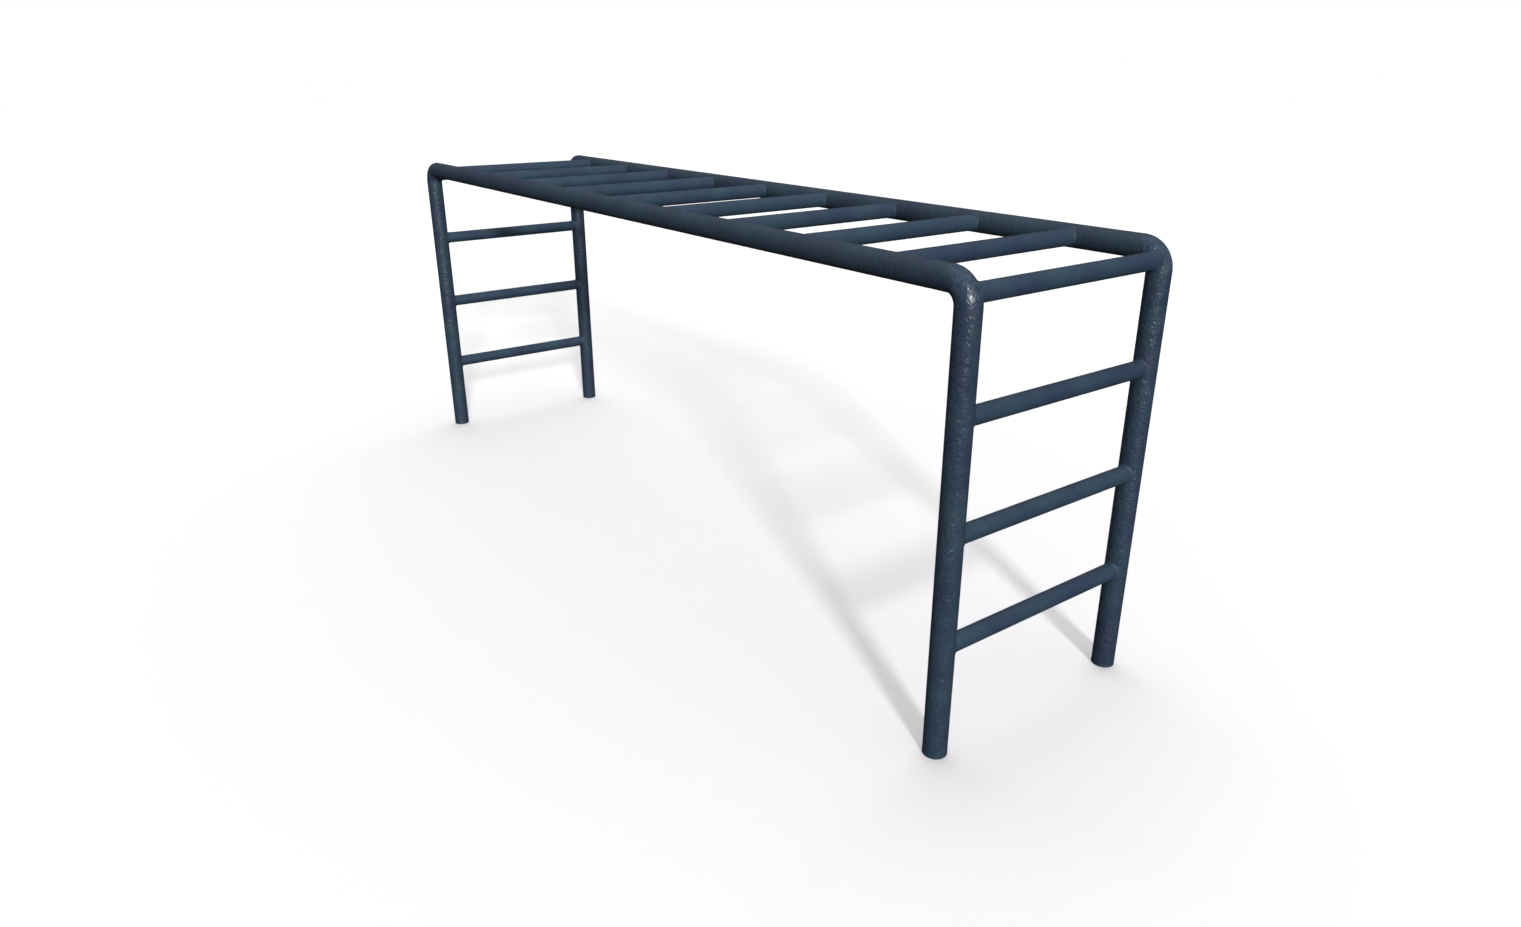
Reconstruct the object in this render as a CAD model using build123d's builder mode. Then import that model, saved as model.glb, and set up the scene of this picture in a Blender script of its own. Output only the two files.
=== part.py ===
# Junior monkey bars: two side rails, each a pair of legs, a pair of short-radius elbows and a
# long top tube, joined by tubular rungs overhead and up both ends.
#
# Frame: origin on the ground at the centre of the footprint, +X along the overhead ladder,
# +Y from the front rail to the rear rail, +Z up. All sizes are millimetres.
import os
from math import radians, sqrt, tan

from build123d import *

os.makedirs("parts", exist_ok=True)

# ---------------------------------------------------------------- overall sizes
leg_spacing = 3664.0  # between the left and right leg axes
rail_spacing = 800.0  # between the front and rear rail axes
rail_height = 1375.0  # from the ground to the axis of the top tubes

# ---------------------------------------------------------------- tubes
rail_od = 73.0
rail_wall = 3.2
elbow_radius = 63.5  # centreline radius of the short-radius elbows
elbow_tangent = 5.0  # straight stretch at each end of an elbow
rung_od = 54.0
rung_wall = 2.6

# ---------------------------------------------------------------- rung places
top_rung_count = 9
top_rung_gap_right = 300.0  # right leg axis to the nearest top rung
top_rung_gap_left = 232.0  # left leg axis to the nearest top rung
end_rung_count = 3  # on each end ladder, below the corner rung
end_rung_gap_foot = 352.0  # ground to the lowest end rung
end_rung_gap_top = 320.0  # highest end rung to the corner rung
corner_rung_inset = 3.0  # corner rung's side inside the elbow's outer side

# ---------------------------------------------------------------- welds, sleeves and feet
root_gap = 1.6  # between two butted tube ends
groove_angle = 30.0  # each tube end's bevel
weld_cap = 0.5  # height of a butt weld above the tube, once it is ground down
fillet_leg = 5.0  # leg length of the fillet weld round a rung
weld_clearance = 1.0  # least distance between two welds
sleeve_clearance = 0.3  # radial, inside the tube's bore
sleeve_wall = 2.5
sleeve_in_tube = 15.0
foot_cap_thickness = 6.0
foot_cap_chamfer = 1.0
foot_spigot_height = 14.0
foot_spigot_wall = 4.0
anchor_hole = 10.2  # tapping size of an M12 anchor thread
anchor_boss = 26.0
anchor_boss_height = 14.0

# ---------------------------------------------------------------- what follows from them
rail_radius = rail_od / 2
bore_radius = rail_radius - rail_wall
sleeve_radius = bore_radius - sleeve_clearance
rung_radius = rung_od / 2
groove_half_width = root_gap / 2 + rail_wall * tan(radians(groove_angle))

leg_x = leg_spacing / 2
rail_y = rail_spacing / 2
bend_x = leg_x - elbow_radius  # centre of an elbow's bend
bend_z = rail_height - elbow_radius
elbow_x = bend_x - elbow_tangent  # where an elbow ends and the top tube begins
elbow_z = bend_z - elbow_tangent  # where a leg ends and its elbow begins
foot_joint_z = foot_cap_thickness + root_gap / 2

# The corner rung sits on the elbow's bend, as far out as the inset allows, and its weld ends
# just above the start of the bend.
corner_reach = elbow_radius + rail_radius - corner_rung_inset - rung_radius
corner_rise = rung_radius + fillet_leg + weld_clearance
corner_run = sqrt(corner_reach**2 - corner_rise**2)
corner_rung_x = bend_x + corner_run
corner_rung_z = bend_z + corner_rise

top_rung_pitch = (leg_spacing - top_rung_gap_right - top_rung_gap_left) / (top_rung_count - 1)
top_rung_xs = [leg_x - top_rung_gap_right - i * top_rung_pitch for i in range(top_rung_count)]
end_rung_top_z = corner_rung_z - end_rung_gap_top
end_rung_pitch = (end_rung_top_z - end_rung_gap_foot) / (end_rung_count - 1)
end_rung_zs = [end_rung_gap_foot + i * end_rung_pitch for i in range(end_rung_count)]

sides = {"front": -1, "rear": 1}
ends = {"left": -1, "right": 1}

# ---------------------------------------------------------------- butt weld, as a tool and as a piece
# One ring of weld metal round a tube on +Z: it fills the V between two bevelled ends down to the
# sleeve inside them, and stands a little proud of the tube.
with BuildPart() as butt_weld:
    with BuildSketch(Plane.XZ):
        with BuildLine():
            Polyline(
                (rail_radius, -groove_half_width),
                (bore_radius, -root_gap / 2),
                (sleeve_radius, -root_gap / 2),
                (sleeve_radius, root_gap / 2),
                (bore_radius, root_gap / 2),
                (rail_radius, groove_half_width),
            )
            ThreePointArc(
                (rail_radius, groove_half_width),
                (rail_radius + weld_cap, 0),
                (rail_radius, -groove_half_width),
            )
        make_face()
    revolve(axis=Axis.Z)

elbow_joints = [
    plane
    for y in (-rail_y, rail_y)
    for end in ends.values()
    for plane in (
        Plane(origin=(end * leg_x, y, elbow_z), z_dir=(0, 0, 1)),
        Plane(origin=(end * elbow_x, y, rail_height), x_dir=(0, 1, 0), z_dir=(-end, 0, 0)),
    )
]
foot_joints = [
    Plane(origin=(end * leg_x, side * rail_y, foot_joint_z), z_dir=(0, 0, 1))
    for side in sides.values()
    for end in ends.values()
]

with BuildPart() as elbow_butt_welds:
    with Locations(*elbow_joints):
        add(butt_weld.part)
elbow_butt_welds.part.label = "elbow_butt_welds"
export_step(elbow_butt_welds.part, "parts/elbow_butt_welds.step")

with BuildPart() as foot_cap_welds:
    with Locations(*foot_joints):
        add(butt_weld.part)
foot_cap_welds.part.label = "foot_cap_welds"
export_step(foot_cap_welds.part, "parts/foot_cap_welds.step")

# ---------------------------------------------------------------- joint sleeves
# A short tube inside each elbow joint lines the two ends up and backs the weld. It reaches only
# to the end of the elbow's straight stretch, where the bore starts to curve away.
with BuildPart() as sleeve:
    with BuildSketch(Plane.XY.offset(-sleeve_in_tube)):
        Circle(sleeve_radius)
        Circle(sleeve_radius - sleeve_wall, mode=Mode.SUBTRACT)
    extrude(amount=sleeve_in_tube + elbow_tangent)

sleeve_places = [
    plane
    for y in (-rail_y, rail_y)
    for end in ends.values()
    for plane in (
        Plane(origin=(end * leg_x, y, elbow_z), z_dir=(0, 0, 1)),
        Plane(origin=(end * elbow_x, y, rail_height), x_dir=(0, 1, 0), z_dir=(end, 0, 0)),
    )
]
with BuildPart() as joint_sleeves:
    with Locations(*sleeve_places):
        add(sleeve.part)
joint_sleeves.part.label = "joint_sleeves"
export_step(joint_sleeves.part, "parts/joint_sleeves.step")

# ---------------------------------------------------------------- top tubes
for side, across in sides.items():
    with BuildPart() as top_rail:
        with BuildSketch(Plane.YZ.offset(-elbow_x)):
            with Locations((across * rail_y, rail_height)):
                Circle(rail_radius)
                Circle(bore_radius, mode=Mode.SUBTRACT)
        extrude(amount=2 * elbow_x)
        add(elbow_butt_welds.part, mode=Mode.SUBTRACT)
    top_rail.part.label = f"{side}_top_rail"
    export_step(top_rail.part, f"parts/{side}_top_rail.step")

# ---------------------------------------------------------------- elbows
# A quarter turn of tube from the leg's top over to the top tube's end, with a short straight
# stretch at both ends. The left-hand elbow is the right-hand one's mirror image.
for side, across in sides.items():
    bend_axis = Axis((bend_x, across * rail_y, bend_z), (0, -1, 0))
    with BuildPart() as right_elbow:
        with BuildSketch(Plane.XY.offset(bend_z)) as bend_start:
            with Locations((leg_x, across * rail_y)):
                Circle(rail_radius)
                Circle(bore_radius, mode=Mode.SUBTRACT)
        extrude(bend_start.sketch, amount=-elbow_tangent)
        revolve(bend_start.sketch, axis=bend_axis, revolution_arc=90)
        with BuildSketch(Plane.YZ.offset(bend_x)):
            with Locations((across * rail_y, rail_height)):
                Circle(rail_radius)
                Circle(bore_radius, mode=Mode.SUBTRACT)
        extrude(amount=-elbow_tangent)
        add(elbow_butt_welds.part, mode=Mode.SUBTRACT)
    right_elbow.part.label = f"{side}_right_elbow"
    export_step(right_elbow.part, f"parts/{side}_right_elbow.step")

    with BuildPart() as left_elbow:
        mirror(right_elbow.part, about=Plane.YZ)
    left_elbow.part.label = f"{side}_left_elbow"
    export_step(left_elbow.part, f"parts/{side}_left_elbow.step")

# ---------------------------------------------------------------- legs and foot caps
for side, across in sides.items():
    for end, along in ends.items():
        corner = f"{side}_{end}"
        leg_axis = (along * leg_x, across * rail_y)

        with BuildPart() as leg:
            with BuildSketch(Plane.XY.offset(foot_joint_z)):
                with Locations(leg_axis):
                    Circle(rail_radius)
                    Circle(bore_radius, mode=Mode.SUBTRACT)
            extrude(amount=elbow_z - foot_joint_z)
            add(elbow_butt_welds.part, mode=Mode.SUBTRACT)
            add(foot_cap_welds.part, mode=Mode.SUBTRACT)
        leg.part.label = f"{corner}_leg"
        export_step(leg.part, f"parts/{corner}_leg.step")

        # A steel disc closes the leg's foot. A spigot centres it in the bore, and a boss on its
        # upper side carries the tapped hole for a ground anchor.
        with BuildPart() as foot_cap:
            with BuildSketch():
                with Locations(leg_axis):
                    Circle(rail_radius)
            extrude(amount=foot_joint_z)
            chamfer(foot_cap.edges().group_by(Axis.Z)[0], length=foot_cap_chamfer)
            with BuildSketch(Plane.XY.offset(foot_cap_thickness)):
                with Locations(leg_axis):
                    Circle(sleeve_radius)
                    Circle(sleeve_radius - foot_spigot_wall, mode=Mode.SUBTRACT)
            extrude(amount=foot_spigot_height)
            with BuildSketch(Plane.XY.offset(foot_cap_thickness)):
                with Locations(leg_axis):
                    Circle(anchor_boss / 2)
            extrude(amount=anchor_boss_height)
            with BuildSketch():
                with Locations(leg_axis):
                    Circle(anchor_hole / 2)
            extrude(amount=foot_cap_thickness + anchor_boss_height, mode=Mode.SUBTRACT)
            add(foot_cap_welds.part, mode=Mode.SUBTRACT)
        foot_cap.part.label = f"{corner}_foot_cap"
        export_step(foot_cap.part, f"parts/{corner}_foot_cap.step")

# ---------------------------------------------------------------- what the rungs are coped to
# The outer shape of both side rails as solid bars: every rung's ends are cut to it.
with BuildPart() as rail_outline:
    with BuildSketch(Plane.YZ):
        with Locations((-rail_y, rail_height), (rail_y, rail_height)):
            Circle(rail_radius)
    extrude(amount=bend_x)
    with BuildSketch(Plane.XY):
        with Locations((leg_x, -rail_y), (leg_x, rail_y)):
            Circle(rail_radius)
    extrude(amount=bend_z)
    with BuildSketch(Plane.XY.offset(bend_z)):
        with Locations((leg_x, -rail_y), (leg_x, rail_y)):
            Circle(rail_radius)
    revolve(axis=Axis((bend_x, 0, bend_z), (0, -1, 0)), revolution_arc=90)
    mirror(about=Plane.YZ)

# ---------------------------------------------------------------- rungs
rungs = {f"top_rung_{i + 1}": (x, rail_height) for i, x in enumerate(top_rung_xs)}
for end, along in ends.items():
    rungs[f"{end}_corner_rung"] = (along * corner_rung_x, corner_rung_z)
    for i, z in enumerate(end_rung_zs):
        rungs[f"{end}_end_rung_{i + 1}"] = (along * leg_x, z)

for name, (x, z) in rungs.items():
    with BuildPart() as rung:
        with BuildSketch(Plane.XZ.offset(-rail_y)):
            with Locations((x, z)):
                Circle(rung_radius)
                Circle(rung_radius - rung_wall, mode=Mode.SUBTRACT)
        extrude(amount=rail_spacing)
        add(rail_outline.part, mode=Mode.SUBTRACT)
    rung.part.label = name
    export_step(rung.part, f"parts/{name}.step")

# ---------------------------------------------------------------- fillet weld round a straight joint
# A rung runs off along +Y from a rail on the X axis. The weld is what a bevel in the corner
# between the two adds to them.
with BuildPart() as straight_joint:
    Cylinder(rail_radius, 3 * rung_od, rotation=(0, 90, 0))
    with BuildSketch(Plane.XZ):
        Circle(rung_radius)
    extrude(amount=-rail_od)
    chamfer(straight_joint.edges().filter_by(GeomType.BSPLINE), length=fillet_leg)

with BuildPart() as fillet_weld:
    add(straight_joint.part)
    Cylinder(rail_radius, 3 * rung_od, rotation=(0, 90, 0), mode=Mode.SUBTRACT)
    with BuildSketch(Plane.XZ):
        Circle(rung_radius)
    extrude(amount=-rail_od, mode=Mode.SUBTRACT)

# Each plane's X axis lies along the rail and its Y axis along the rung.
top_weld_places = [
    Plane(origin=(x, across * rail_y, rail_height), x_dir=(-across, 0, 0), z_dir=(0, 0, 1))
    for across in sides.values()
    for x in top_rung_xs
]
with BuildPart() as top_rung_welds:
    with Locations(*top_weld_places):
        add(fillet_weld.part)
top_rung_welds.part.label = "top_rung_welds"
export_step(top_rung_welds.part, "parts/top_rung_welds.step")

end_weld_places = [
    Plane(origin=(along * leg_x, across * rail_y, z), x_dir=(0, 0, 1), z_dir=(across, 0, 0))
    for across in sides.values()
    for along in ends.values()
    for z in end_rung_zs
]
with BuildPart() as end_rung_welds:
    with Locations(*end_weld_places):
        add(fillet_weld.part)
end_rung_welds.part.label = "end_rung_welds"
export_step(end_rung_welds.part, "parts/end_rung_welds.step")

# ---------------------------------------------------------------- fillet weld round a corner rung
with BuildPart() as front_right_bend:
    with BuildSketch(Plane.XY.offset(bend_z)):
        with Locations((leg_x, -rail_y)):
            Circle(rail_radius)
    revolve(axis=Axis((bend_x, -rail_y, bend_z), (0, -1, 0)), revolution_arc=90)

with BuildPart() as corner_stub:
    with BuildSketch(Plane.XZ.offset(rail_y)):
        with Locations((corner_rung_x, corner_rung_z)):
            Circle(rung_radius)
    extrude(amount=-rail_od)

with BuildPart() as corner_joint:
    add(front_right_bend.part)
    add(corner_stub.part)
    chamfer(corner_joint.edges().filter_by(GeomType.BSPLINE), length=fillet_leg)

with BuildPart() as corner_rung_welds:
    add(corner_joint.part)
    add(front_right_bend.part, mode=Mode.SUBTRACT)
    add(corner_stub.part, mode=Mode.SUBTRACT)
    mirror(about=Plane.YZ)
    mirror(about=Plane.XZ)
corner_rung_welds.part.label = "corner_rung_welds"
export_step(corner_rung_welds.part, "parts/corner_rung_welds.step")

print(f"top rung pitch {top_rung_pitch:.1f}, end rung pitch {end_rung_pitch:.1f}")
print(f"corner rung at x {corner_rung_x:.1f}, z {corner_rung_z:.1f}")
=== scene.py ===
# Junior monkey bars: a welded frame of round steel tube in dark blue hammered enamel.
# The sections follow the frame as it is welded up: legs, feet, elbows, top tubes, rungs, welds.
from math import atan2, ceil, hypot, pi, radians, sin, sqrt, tan

import bmesh
import bpy
from mathutils import Matrix, Vector


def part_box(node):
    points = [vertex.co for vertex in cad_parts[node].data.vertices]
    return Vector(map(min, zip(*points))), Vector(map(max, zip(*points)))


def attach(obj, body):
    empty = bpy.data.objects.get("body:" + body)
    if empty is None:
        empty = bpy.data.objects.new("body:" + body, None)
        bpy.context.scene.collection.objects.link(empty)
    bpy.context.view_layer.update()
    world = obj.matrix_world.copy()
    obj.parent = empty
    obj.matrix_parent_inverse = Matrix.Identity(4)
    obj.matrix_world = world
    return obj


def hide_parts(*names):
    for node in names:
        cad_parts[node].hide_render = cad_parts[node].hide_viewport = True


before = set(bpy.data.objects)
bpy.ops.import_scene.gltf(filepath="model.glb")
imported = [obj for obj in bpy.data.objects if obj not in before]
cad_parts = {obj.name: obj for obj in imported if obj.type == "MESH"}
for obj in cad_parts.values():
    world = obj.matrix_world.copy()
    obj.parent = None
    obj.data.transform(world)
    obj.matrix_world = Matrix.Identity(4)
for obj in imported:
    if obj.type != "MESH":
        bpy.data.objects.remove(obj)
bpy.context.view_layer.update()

# ---------------------------------------------------------------- legs
# Four upright lengths of 73 mm tube. Each is sawn square, bevelled at both ends for its welds,
# and carries the whole frame's finish: a hammered enamel that is brushed or sprayed on.
mm = 0.001
sides = {"front": -1, "rear": 1}
ends = {"left": -1, "right": 1}
leg_low, leg_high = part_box("front_right_leg")
rail_radius = (leg_high.x - leg_low.x) / 2
rail_wall = 3.2 * mm
rail_bore = rail_radius - rail_wall
leg_x = (leg_high.x + leg_low.x) / 2
rail_y = -(leg_high.y + leg_low.y) / 2
bevel_angle = radians(30)
bevel_width = rail_wall * tan(bevel_angle)
both_bevelled = (bevel_width, bevel_width)
tube_sides = 96
ring_spacing = 60 * mm  # between the rings of points along a tube
merge_distance = 0.001 * mm
crease_angle = radians(32)  # edges sharper than this stay hard


def linear(hex_colour):
    """An sRGB hex colour such as "#304052" as linear red, green, blue and alpha."""
    channels = [int(hex_colour[i : i + 2], 16) / 255 for i in (1, 3, 5)]
    return [c / 12.92 if c <= 0.04045 else ((c + 0.055) / 1.055) ** 2.4 for c in channels] + [1.0]


def add_node(tree, kind, sockets=None, **settings):
    """Adds a node. A socket's value is either a constant or the output that feeds it."""
    made = tree.nodes.new("ShaderNode" + kind)
    for name, value in settings.items():
        setattr(made, name, value)
    for name, value in (sockets or {}).items():
        if isinstance(value, bpy.types.NodeSocket):
            tree.links.new(value, made.inputs[name])
        else:
            made.inputs[name].default_value = value
    return made


def per_metre(size_mm):
    """The texture scale that gives features of this size, in millimetres."""
    return 1000 / size_mm


def new_material(name):
    material = bpy.data.materials.new(name)
    material.use_nodes = True
    material.node_tree.nodes.clear()
    return material, material.node_tree


# Hammered enamel is an alkyd paint whose silicone pulls the wet film into small dished cells with
# wandering ridges between them, so it shines in broken squiggles instead of one clean streak.
# Its relief is drawn deeper than a real film's, so that it shows from a few metres away.
# Colours are the deep violet-blue and the greener blue it drifts between, and a paler colour on its
# ridges that is partly rubbed wear and partly a painted highlight of their glints.
drift_mm = 150
mottle_mm = 9
orange_peel_mm = 2.8
gloss_patch_mm = 45
ridge_share = 0.16  # how far either side of a cell's edge its ridge reaches
most_dust = 0.006
enamel_ior = 1.46


def hammered_enamel(name, colours, cell_mm, dish_mm, ridge_mm, rub_and_highlight, roughness, hand_polish=0.0):
    """The enamel with cells, dishes and ridges of these sizes, its ridges drawn paler: partly
    rubbed wear, partly a painted highlight.
    """
    material, tree = new_material(name)
    place = add_node(tree, "TexCoord").outputs["Object"]
    wander = add_node(
        tree,
        "TexNoise",
        {"Vector": place, "Scale": per_metre(cell_mm), "Detail": 1.0, "Distortion": 0.8},
    ).outputs[0]
    off_middle = add_node(tree, "Math", {0: wander, 1: 0.5}, operation="SUBTRACT").outputs[0]
    distance = add_node(tree, "Math", {0: off_middle}, operation="ABSOLUTE").outputs[0]
    ridge = add_node(
        tree,
        "MapRange",
        {"Value": distance, "From Max": ridge_share, "To Min": 1.0, "To Max": 0.0},
        interpolation_type="SMOOTHSTEP",
    ).outputs["Result"]
    dishes = add_node(
        tree, "TexNoise", {"Vector": place, "Scale": per_metre(cell_mm * 1.2), "Detail": 1.0}
    ).outputs[0]
    patches = add_node(
        tree, "TexNoise", {"Vector": place, "Scale": per_metre(cell_mm * 4), "Detail": 3.0}
    ).outputs[0]
    patchy = add_node(
        tree,
        "MapRange",
        {"Value": patches, "From Min": 0.34, "From Max": 0.58},
        interpolation_type="SMOOTHSTEP",
    ).outputs["Result"]
    strong_ridge = add_node(tree, "Math", {0: ridge, 1: patchy}, operation="MULTIPLY").outputs[0]
    # The ridges are drawn toward the paler colour: partly rubbed wear, partly a painted highlight
    # of the glints on the hammered ridges.
    rubbed_and_highlit = add_node(tree, "Math", {0: strong_ridge, 1: rub_and_highlight}, operation="MULTIPLY").outputs[0]

    # Batches of paint and years of sun leave the blue more violet here and greener there.
    broad = add_node(
        tree, "TexNoise", {"Vector": place, "Scale": per_metre(drift_mm), "Detail": 3.0}
    ).outputs[0]
    drift = add_node(
        tree, "MapRange", {"Value": broad, "From Min": 0.35, "From Max": 0.65}
    ).outputs["Result"]
    violet, green, worn_and_highlight = (linear(c) for c in colours)
    base = add_node(
        tree, "Mix", {"Factor": drift, "A": violet, "B": green}, data_type="RGBA"
    ).outputs["Result"]
    fine = add_node(
        tree,
        "TexNoise",
        {"Vector": place, "Scale": per_metre(mottle_mm), "Detail": 4.0, "Roughness": 0.6},
    ).outputs[0]
    mottle = add_node(
        tree,
        "MapRange",
        {"Value": fine, "From Min": 0.3, "From Max": 0.7, "To Min": 0.9, "To Max": 1.1},
    ).outputs["Result"]
    mottled = add_node(tree, "VectorMath", {0: base, "Scale": mottle}, operation="SCALE").outputs[0]
    paint = add_node(
        tree, "Mix", {"Factor": rubbed_and_highlit, "A": mottled, "B": worn_and_highlight}, data_type="RGBA"
    ).outputs["Result"]

    # A thin film of dust lies on whatever faces up.
    facing = add_node(tree, "NewGeometry").outputs["Normal"]
    up = add_node(tree, "SeparateXYZ", {0: facing}).outputs["Z"]
    dust = add_node(
        tree,
        "MapRange",
        {"Value": up, "From Min": 0.35, "From Max": 1.0, "To Min": 0.0, "To Max": most_dust},
        interpolation_type="SMOOTHSTEP",
    ).outputs["Result"]
    dusty = add_node(
        tree, "Mix", {"Factor": dust, "A": paint, "B": linear("#8f8d88")}, data_type="RGBA"
    ).outputs["Result"]

    # The relief is in millimetres: dishes, ridges between them, and the film's own orange peel.
    dish_height = add_node(tree, "Math", {0: dishes, 1: dish_mm}, operation="MULTIPLY").outputs[0]
    ridge_height = add_node(
        tree, "Math", {0: strong_ridge, 1: ridge_mm}, operation="MULTIPLY"
    ).outputs[0]
    peel = add_node(
        tree, "TexNoise", {"Vector": place, "Scale": per_metre(orange_peel_mm), "Detail": 2.0}
    ).outputs[0]
    peel_height = add_node(tree, "Math", {0: peel, 1: 0.05}, operation="MULTIPLY").outputs[0]
    film = add_node(tree, "Math", {0: dish_height, 1: ridge_height}, operation="ADD").outputs[0]
    height = add_node(tree, "Math", {0: film, 1: peel_height}, operation="ADD").outputs[0]
    bump = add_node(
        tree, "Bump", {"Strength": 1.0, "Distance": mm, "Height": height}
    ).outputs["Normal"]
    worn_gloss = add_node(
        tree, "TexNoise", {"Vector": place, "Scale": per_metre(gloss_patch_mm), "Detail": 3.0}
    ).outputs[0]
    gloss = add_node(
        tree,
        "MapRange",
        {
            "Value": worn_gloss,
            "From Min": 0.3,
            "From Max": 0.7,
            "To Min": roughness - 0.05,
            "To Max": roughness + 0.07,
        },
    ).outputs["Result"]
    # Hands wear the middle of a rung smoother.
    if hand_polish:
        across = add_node(tree, "SeparateXYZ", {0: place}).outputs["Y"]
        off_centre = add_node(tree, "Math", {0: across}, operation="ABSOLUTE").outputs[0]
        gripped = add_node(
            tree,
            "MapRange",
            {
                "Value": off_centre,
                "From Min": 120 * mm,
                "From Max": 300 * mm,
                "To Min": hand_polish,
                "To Max": 0.0,
            },
            interpolation_type="SMOOTHSTEP",
        ).outputs["Result"]
        gloss = add_node(tree, "Math", {0: gloss, 1: gripped}, operation="SUBTRACT").outputs[0]
    shader = add_node(
        tree,
        "BsdfPrincipled",
        {"Base Color": dusty, "Roughness": gloss, "Normal": bump, "IOR": enamel_ior},
    )
    add_node(tree, "OutputMaterial", {"Surface": shader.outputs[0]})
    return material


leg_enamel = hammered_enamel(
    "hammered_enamel_on_legs",
    ("#2b364b", "#2e4250", "#55616c"),
    cell_mm=10,
    dish_mm=2.4,
    ridge_mm=0.5,
    rub_and_highlight=0.14,
    roughness=0.35,
)


def face_outwards(maker):
    """Closes one shell's seams and turns all its faces outwards."""
    bmesh.ops.remove_doubles(maker, verts=maker.verts, dist=merge_distance)
    bmesh.ops.recalc_face_normals(maker, faces=maker.faces)
    if maker.calc_volume(signed=True) < 0:
        bmesh.ops.reverse_faces(maker, faces=maker.faces)


def finish_piece(name, mesh_maker, material, nodes):
    """Turns a bmesh into a piece that rides on the frame and stands for those CAD nodes."""
    mesh = bpy.data.meshes.new(name)
    mesh_maker.to_mesh(mesh)
    mesh_maker.free()
    mesh.shade_smooth()
    mesh.set_sharp_from_angle(angle=crease_angle)
    mesh.materials.append(material)
    piece = bpy.data.objects.new(name, mesh)
    bpy.context.scene.collection.objects.link(piece)
    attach(piece, "root")
    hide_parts(*nodes)


def closed_outline(maker, points):
    """A closed loop of edges through these points, in order."""
    corners = [maker.verts.new(p) for p in points]
    edges = [maker.edges.new((a, b)) for a, b in zip(corners, corners[1:] + corners[:1])]
    return corners + edges


def turned(maker, outline, centre, axis, steps):
    """Spins a closed outline one full turn about an axis."""
    bmesh.ops.spin(
        maker,
        geom=outline,
        cent=centre,
        axis=axis,
        dvec=(0, 0, 0),
        angle=2 * pi,
        steps=steps,
        use_merge=True,
        use_duplicate=False,
    )


def tube(start, along, length, radius, wall, bevels=(0.0, 0.0)):
    """A tube from start, with walls and sawn ends; each end may be bevelled back for a weld."""
    maker = bmesh.new()
    along = Vector(along)
    out = along.orthogonal().normalized()
    start = Vector(start)
    rings = ceil(length / ring_spacing)
    outer = [bevels[0] + (length - bevels[0] - bevels[1]) * i / rings for i in range(rings + 1)]
    points = [start + along * t + out * radius for t in outer]
    points += [start + along * t + out * (radius - wall) for t in (length, 0.0)]
    turned(maker, closed_outline(maker, points), start, along, tube_sides)
    face_outwards(maker)
    return maker


for side, across in sides.items():
    for end, lengthways in ends.items():
        low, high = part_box(f"{side}_{end}_leg")
        finish_piece(
            f"{side}_{end}_leg_tube",
            tube(
                (lengthways * leg_x, across * rail_y, low.z),
                (0, 0, 1),
                high.z - low.z,
                rail_radius,
                rail_wall,
                both_bevelled,
            ),
            leg_enamel,
            [f"{side}_{end}_leg"],
        )

# ---------------------------------------------------------------- foot caps
# A turned steel disc closes each leg. Its rim is eased where it meets the ground, a spigot
# centres it in the tube, and a boss inside is drilled to tapping size for a ground anchor.
weld_low, weld_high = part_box("foot_cap_welds")
cap_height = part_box("front_right_foot_cap")[1].z
cap_thickness = 6.0 * mm
rim_ease = 1.0 * mm
rim_swell = 0.3 * rim_ease  # rounds the eased rim
anchor_radius = 5.1 * mm
boss_radius = 13.0 * mm
boss_height = 20.0 * mm
spigot_radius = rail_bore - 0.3 * mm
spigot_wall = 4.0 * mm

foot_enamel = hammered_enamel(
    "hammered_enamel_on_feet",
    ("#293549", "#2d404e", "#565e66"),
    cell_mm=11,
    dish_mm=1.8,
    ridge_mm=0.3,
    rub_and_highlight=0.15,
    roughness=0.5,
)
for side, across in sides.items():
    for end, lengthways in ends.items():
        centre = Vector((lengthways * leg_x, across * rail_y, 0))
        profile = [
            (anchor_radius, 0.0),
            (rail_radius - rim_ease, 0.0),
            (rail_radius - rim_swell, rim_swell),
            (rail_radius, rim_ease),
            (rail_radius, weld_low.z),
            (rail_bore, cap_thickness),
            (spigot_radius, cap_thickness),
            (spigot_radius, cap_height),
            (spigot_radius - spigot_wall, cap_height),
            (spigot_radius - spigot_wall, cap_thickness),
            (boss_radius, cap_thickness),
            (boss_radius, boss_height),
            (anchor_radius, boss_height),
        ]
        maker = bmesh.new()
        outline = closed_outline(maker, [centre + Vector((r, 0, z)) for r, z in profile])
        turned(maker, outline, centre, (0, 0, 1), tube_sides)
        face_outwards(maker)
        finish_piece(
            f"{side}_{end}_foot_disc", maker, foot_enamel, [f"{side}_{end}_foot_cap"]
        )

# ---------------------------------------------------------------- elbows
# Forged short-radius elbows turn the legs into the top tubes. Their bend is tighter than the
# tube's own diameter, and each keeps a short straight stretch at both ends for its butt welds.
rail_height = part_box("front_right_elbow")[1].z - rail_radius
bend_radius = 63.5 * mm
bend_x = leg_x - bend_radius
bend_z = rail_height - bend_radius
elbow_tangent = 5.0 * mm
bend_steps = 32

elbow_enamel = hammered_enamel(
    "hammered_enamel_on_elbows",
    ("#2d394f", "#314654", "#66717c"),
    cell_mm=17,
    dish_mm=3.4,
    ridge_mm=0.7,
    rub_and_highlight=0.2,
    roughness=0.34,
)


def drawn_out(maker, loop, offset):
    """Draws a loop of edges out into a straight wall and returns the loop at its far end."""
    wall = bmesh.ops.extrude_edge_only(maker, edges=loop)
    far = [v for v in wall["geom"] if isinstance(v, bmesh.types.BMVert)]
    bmesh.ops.translate(maker, verts=far, vec=offset)
    ring = set(far)
    return list({e for v in far for e in v.link_edges if e.other_vert(v) in ring})


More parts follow.
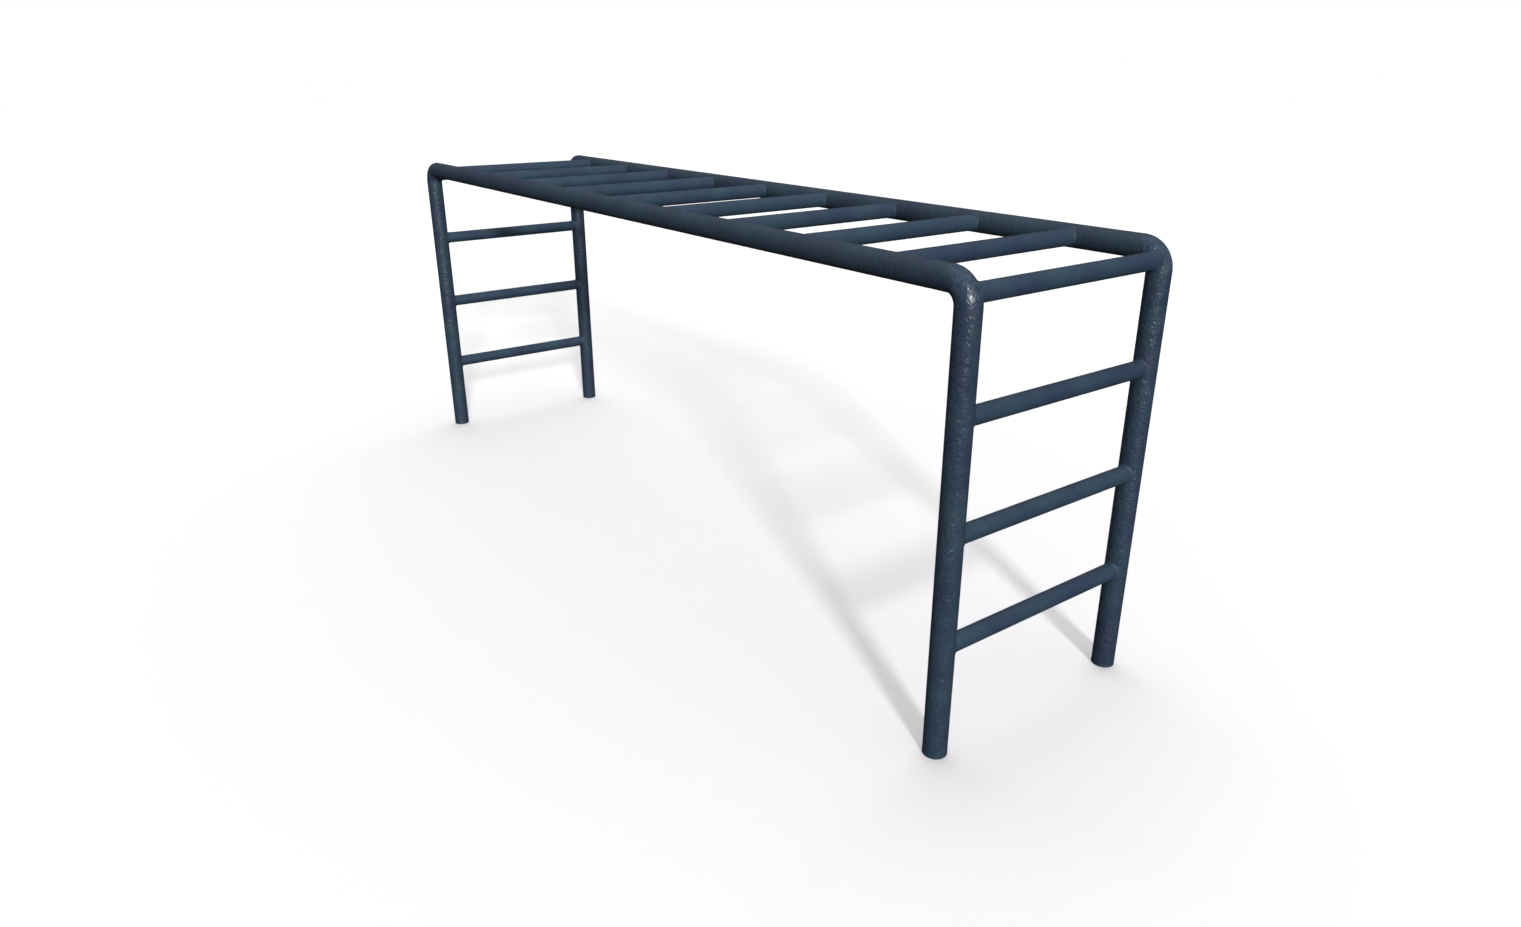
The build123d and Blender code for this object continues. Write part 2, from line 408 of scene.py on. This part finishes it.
for side, across in sides.items():
    for end, lengthways in ends.items():
        maker = bmesh.new()
        bend_centre = Vector((lengthways * bend_x, across * rail_y, bend_z))
        leg_end = Vector((lengthways * leg_x, across * rail_y, bend_z - elbow_tangent))
        mouths, far_mouths = [], []
        for radius, bevel in ((rail_radius, bevel_width), (rail_bore, 0.0)):
            ring = bmesh.ops.create_circle(
                maker,
                segments=tube_sides,
                radius=radius,
                matrix=Matrix.Translation(leg_end + Vector((0, 0, bevel))),
            )
            loop = list({e for v in ring["verts"] for e in v.link_edges})
            mouths += loop
            loop = drawn_out(maker, loop, (0, 0, elbow_tangent - bevel))
            bend = bmesh.ops.spin(
                maker,
                geom=loop,
                cent=bend_centre,
                axis=(0, -lengthways, 0),
                dvec=(0, 0, 0),
                angle=pi / 2,
                steps=bend_steps,
                use_merge=False,
                use_duplicate=False,
            )
            loop = [e for e in bend["geom_last"] if isinstance(e, bmesh.types.BMEdge)]
            far_mouths += drawn_out(maker, loop, (-lengthways * (elbow_tangent - bevel), 0, 0))
        bmesh.ops.bridge_loops(maker, edges=mouths)
        bmesh.ops.bridge_loops(maker, edges=far_mouths)
        face_outwards(maker)
        finish_piece(
            f"{side}_{end}_elbow_bend", maker, elbow_enamel, [f"{side}_{end}_elbow"]
        )

# ---------------------------------------------------------------- top tubes
# Two long lengths of the same tube run between the elbows. They are touched less than the
# rungs and lie in the sun, so they keep a flatter, slightly dusty look.
rail_enamel = hammered_enamel(
    "hammered_enamel_on_top_tubes",
    ("#2c384d", "#304352", "#505b66"),
    cell_mm=11,
    dish_mm=1.8,
    ridge_mm=0.3,
    rub_and_highlight=0.08,
    roughness=0.55,
)
for side, across in sides.items():
    low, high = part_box(f"{side}_top_rail")
    finish_piece(
        f"{side}_top_tube",
        tube(
            (low.x, across * rail_y, rail_height),
            (1, 0, 0),
            high.x - low.x,
            rail_radius,
            rail_wall,
            both_bevelled,
        ),
        rail_enamel,
        [f"{side}_top_rail"],
    )

# ---------------------------------------------------------------- rungs
# Seventeen rungs of 54 mm tube. Both ends are coped, cut to a saddle that sits snugly against
# the side tube, and hands have polished the middle of each.
top_rung_count = 9
end_rung_count = 3
rung_low, rung_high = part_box("top_rung_1")
rung_radius = (rung_high.z - rung_low.z) / 2
rung_wall = 2.6 * mm

rung_enamel = hammered_enamel(
    "hammered_enamel_on_rungs",
    ("#2c3a50", "#304655", "#4f5c6b"),
    cell_mm=11,
    dish_mm=0.7,
    ridge_mm=0.1,
    rub_and_highlight=0.05,
    roughness=0.46,
    hand_polish=0.06,
)


def saddle_depth(x, z):
    """How far the side frame's outer surface stands in front of its axis plane, at this place."""
    x = abs(x)
    if z > bend_z and x > bend_x:
        off_axis = hypot(x - bend_x, z - bend_z) - bend_radius
    elif z > bend_z:
        off_axis = z - rail_height
    else:
        off_axis = x - leg_x
    return sqrt(max(rail_radius**2 - off_axis**2, 0.0))


rungs = {f"top_rung_{i + 1}": "top" for i in range(top_rung_count)}
for end in ends:
    rungs[f"{end}_corner_rung"] = "corner"
    for i in range(end_rung_count):
        rungs[f"{end}_end_rung_{i + 1}"] = "end"

rung_places = {}
for name in rungs:
    low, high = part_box(name)
    x, z = (low.x + high.x) / 2, (low.z + high.z) / 2
    rung_places[name] = (x, z)
    maker = tube((x, -rail_y, z), (0, 1, 0), 2 * rail_y, rung_radius, rung_wall)
    # The last ring at each end moves in along the rung onto the side frame's surface.
    for vert in maker.verts:
        if abs(vert.co.y) > rail_y - ring_spacing / 2:
            reach = rail_y - saddle_depth(vert.co.x, vert.co.z)
            vert.co.y = reach if vert.co.y > 0 else -reach
    finish_piece(f"{name}_tube", maker, rung_enamel, [name])

# ---------------------------------------------------------------- fillet welds round the rungs
# A MIG-welded bead closes the corner all round both ends of every rung. Each dab of metal
# froze over the one before, so the bead is ringed with small overlapping ripples, under paint.
fillet_leg = 5.0 * mm
face_steps = 4  # across the bead's sloping face
bulge = 0.08 * fillet_leg  # of the face, between its ripples
ripple_spacing = 3.2 * mm
ripple_height = 0.35 * mm
ripple_crest = 0.7  # under 1 makes the crests broad and the valleys sharp
steps_per_ripple = 4
each_way = 0.7  # share of the swell that goes along each leg, about the sine of 45 degrees

weld_enamel = hammered_enamel(
    "hammered_enamel_on_welds",
    ("#2b364b", "#2e4250", "#55616c"),
    cell_mm=11,
    dish_mm=1.2,
    ridge_mm=0.2,
    rub_and_highlight=0.05,
    roughness=0.62,
)


def ripple(angle, count):
    """Height of the ripples, 0 to 1, sharp-edged where one dab overlaps the last."""
    return abs(sin(angle * count / 2)) ** ripple_crest


def gather(group, bead):
    """Moves one finished bead into its group."""
    face_outwards(bead)
    passing = bpy.data.meshes.new("bead")
    bead.to_mesh(passing)
    bead.free()
    group.from_mesh(passing)
    bpy.data.meshes.remove(passing)


def fillet_bead(x, z, across):
    """One bead: a triangle spun about the rung, given its ripples and moved onto the saddle."""
    maker = bmesh.new()
    ripples = round(2 * pi * (rung_radius + fillet_leg / 2) / ripple_spacing)
    steps = ripples * steps_per_ripple
    section = [(1 - i / face_steps, i / face_steps) for i in range(face_steps + 1)]
    section.append((0, 0))
    points = [(x + rung_radius + fillet_leg * out, fillet_leg * up, z) for out, up in section]
    turned(maker, closed_outline(maker, points), (x, 0, z), (0, 1, 0), steps)
    for vert in maker.verts:
        dx, dz = vert.co.x - x, vert.co.z - z
        out = (hypot(dx, dz) - rung_radius) / fillet_leg
        up = vert.co.y / fillet_leg
        angle = atan2(dz, dx)
        from_toes = 2 * max(min(out, up), 0.0)
        swell = from_toes * (bulge + ripple_height * ripple(angle, ripples))
        spread = (rung_radius + fillet_leg * out + swell * each_way) / hypot(dx, dz)
        vert.co.x = x + dx * spread
        vert.co.z = z + dz * spread
        depth = saddle_depth(vert.co.x, vert.co.z)
        vert.co.y = across * (rail_y - depth - fillet_leg * up - swell * each_way)
    return maker


for kind in ("top", "end", "corner"):
    maker = bmesh.new()
    for name, rung_kind in rungs.items():
        if rung_kind == kind:
            for across in sides.values():
                gather(maker, fillet_bead(*rung_places[name], across))
    finish_piece(f"{kind}_rung_beads", maker, weld_enamel, [f"{kind}_rung_welds"])

# ---------------------------------------------------------------- butt welds round the side tubes
# Single-V butt welds join legs, elbows and top tubes, and close each foot. They fill the groove
# between two bevelled ends and were ground nearly flush before the frame was painted.
root_half = 0.8 * mm
butt_half = bevel_width + root_half
left_by_grinder = 0.55  # of the cap that the CAD weld has
butt_cap = left_by_grinder * (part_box("elbow_butt_welds")[1].x - leg_x - rail_radius)


def butt_bead(centre, along):
    """One ring of weld metal round a joint between two side tubes."""
    maker = bmesh.new()
    along = Vector(along)
    out = along.orthogonal().normalized()
    # Places across the cap as shares of its half width, closer together where it curves down.
    across_cap = [-1.0, -0.72, -0.4, 0.0, 0.4, 0.72, 1.0]
    points = [(rail_radius + butt_cap * (1 - a * a), butt_half * a) for a in across_cap]
    points += [(rail_bore, root_half), (rail_bore, -root_half)]
    places = [Vector(centre) + out * r + along * t for r, t in points]
    turned(maker, closed_outline(maker, places), centre, along, 2 * tube_sides)
    return maker


maker = bmesh.new()
for across in sides.values():
    for lengthways in ends.values():
        leg_joint = (lengthways * leg_x, across * rail_y, bend_z - elbow_tangent)
        rail_joint = (lengthways * (bend_x - elbow_tangent), across * rail_y, rail_height)
        gather(maker, butt_bead(leg_joint, (0, 0, 1)))
        gather(maker, butt_bead(rail_joint, (1, 0, 0)))
finish_piece("elbow_butt_beads", maker, weld_enamel, ["elbow_butt_welds"])

maker = bmesh.new()
for across in sides.values():
    for lengthways in ends.values():
        joint = (lengthways * leg_x, across * rail_y, (weld_low.z + weld_high.z) / 2)
        gather(maker, butt_bead(joint, (0, 0, 1)))
finish_piece("foot_cap_beads", maker, weld_enamel, ["foot_cap_welds"])

# ---------------------------------------------------------------- joint sleeves
# Short lengths of tube line up each elbow joint from inside and back its weld. They are mild
# steel as it came from the lathe, with a film of oil and fine turning marks.
turning_mark_mm = 1.5


def turned_steel():
    material, tree = new_material("turned_mild_steel")
    place = add_node(tree, "TexCoord").outputs["Object"]
    marks = add_node(
        tree, "TexNoise", {"Vector": place, "Scale": per_metre(turning_mark_mm), "Detail": 2.0}
    ).outputs[0]
    shade = add_node(
        tree,
        "Mix",
        {"Factor": marks, "A": linear("#8b8d90"), "B": linear("#9c9b98")},
        data_type="RGBA",
    ).outputs["Result"]
    rough = add_node(
        tree, "MapRange", {"Value": marks, "To Min": 0.3, "To Max": 0.45}
    ).outputs["Result"]
    bump = add_node(
        tree, "Bump", {"Strength": 0.4, "Distance": 0.05 * mm, "Height": marks}
    ).outputs["Normal"]
    shader = add_node(
        tree,
        "BsdfPrincipled",
        {"Base Color": shade, "Metallic": 1.0, "Roughness": rough, "Normal": bump},
    )
    add_node(tree, "OutputMaterial", {"Surface": shader.outputs[0]})
    return material


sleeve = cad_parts["joint_sleeves"]
sleeve.data.materials.clear()
sleeve.data.materials.append(turned_steel())

# ---------------------------------------------------------------- ground, light and camera
# A plain pale studio floor, a low key from the right-hand end, a soft fill from the far side,
# and a dome that is brightest overhead and that the camera sees as plain white.
floor_half_width = 60.0  # metres
floor_maker = bmesh.new()
bmesh.ops.create_grid(floor_maker, x_segments=1, y_segments=1, size=floor_half_width)
floor_mesh = bpy.data.meshes.new("studio_floor")
floor_maker.to_mesh(floor_mesh)
floor_maker.free()
floor = bpy.data.objects.new("studio_floor", floor_mesh)
bpy.context.scene.collection.objects.link(floor)
floor.visible_diffuse = False
floor.visible_glossy = False

# Matt seamless paper with painted shade: drawn a darker violet grey by the frame's feet and paler
# further off, a falloff of light painted into its colour.
floor_material, tree = new_material("white_studio_paper")
spot = add_node(tree, "TexCoord").outputs["Object"]
far = add_node(tree, "VectorMath", {0: spot}, operation="LENGTH").outputs["Value"]
painted_falloff = add_node(
    tree,
    "MapRange",
    {"Value": far, "From Min": 1.0, "From Max": 5.0},
    interpolation_type="SMOOTHSTEP",
).outputs["Result"]
paper_with_painted_falloff = add_node(
    tree,
    "Mix",
    {"Factor": painted_falloff, "A": linear("#edebee"), "B": linear("#f7f7f7")},
    data_type="RGBA",
).outputs["Result"]
paper = add_node(tree, "BsdfDiffuse", {"Color": paper_with_painted_falloff})
add_node(tree, "OutputMaterial", {"Surface": paper.outputs[0]})
floor_mesh.materials.append(floor_material)

world = bpy.data.worlds.new("studio_dome")
world.use_nodes = True
bpy.context.scene.world = world
tree = world.node_tree
tree.nodes.clear()
direction = add_node(tree, "TexCoord").outputs["Generated"]
height = add_node(tree, "SeparateXYZ", {0: direction}).outputs["Z"]
above = add_node(tree, "MapRange", {"Value": height}).outputs["Result"]
overhead = add_node(tree, "Math", {0: above, 1: 1.8}, operation="POWER").outputs[0]
dome = add_node(
    tree, "MapRange", {"Value": overhead, "To Min": 0.12, "To Max": 0.9}
).outputs["Result"]
# Reflections see the dome dimmed, so the tops and undersides of the tubes keep their blue.
path = add_node(tree, "LightPath")
dimming = add_node(
    tree, "MapRange", {"Value": path.outputs["Is Glossy Ray"], "To Min": 1.0, "To Max": 0.25}
).outputs["Result"]
lighting = add_node(tree, "Math", {0: dome, 1: dimming}, operation="MULTIPLY").outputs[0]
level = add_node(
    tree, "Mix", {"Factor": path.outputs["Is Camera Ray"], "A": lighting, "B": 1.0}
).outputs["Result"]
backdrop = add_node(tree, "Background", {"Color": linear("#ffffff"), "Strength": level})
add_node(tree, "OutputWorld", {"Surface": backdrop.outputs[0]})


def sun(name, energy, spread, toward):
    """A sun lamp that stands in the direction toward and is spread degrees across."""
    light = bpy.data.lights.new(name, "SUN")
    light.energy = energy
    light.angle = radians(spread)
    lamp = bpy.data.objects.new(name, light)
    lamp.rotation_euler = Vector(toward).to_track_quat("Z", "Y").to_euler()
    bpy.context.scene.collection.objects.link(lamp)
    return lamp


sun("key", energy=3.0, spread=7, toward=(0.865, -0.359, 0.352))
fill = sun("fill", energy=1.8, spread=90, toward=(-0.62, 0.55, 0.56))
fill.visible_glossy = False

camera = bpy.data.cameras.new("camera")
camera.lens = 23.74
camera.sensor_width = 36
camera.clip_end = 200
camera_object = bpy.data.objects.new("camera", camera)
camera_object.location = (3.4656, -2.2510, 1.8533)
camera_object.rotation_euler = (radians(68.54), 0, radians(53.29))
bpy.context.scene.collection.objects.link(camera_object)
bpy.context.scene.camera = camera_object
bpy.context.scene.view_settings.view_transform = "Standard"
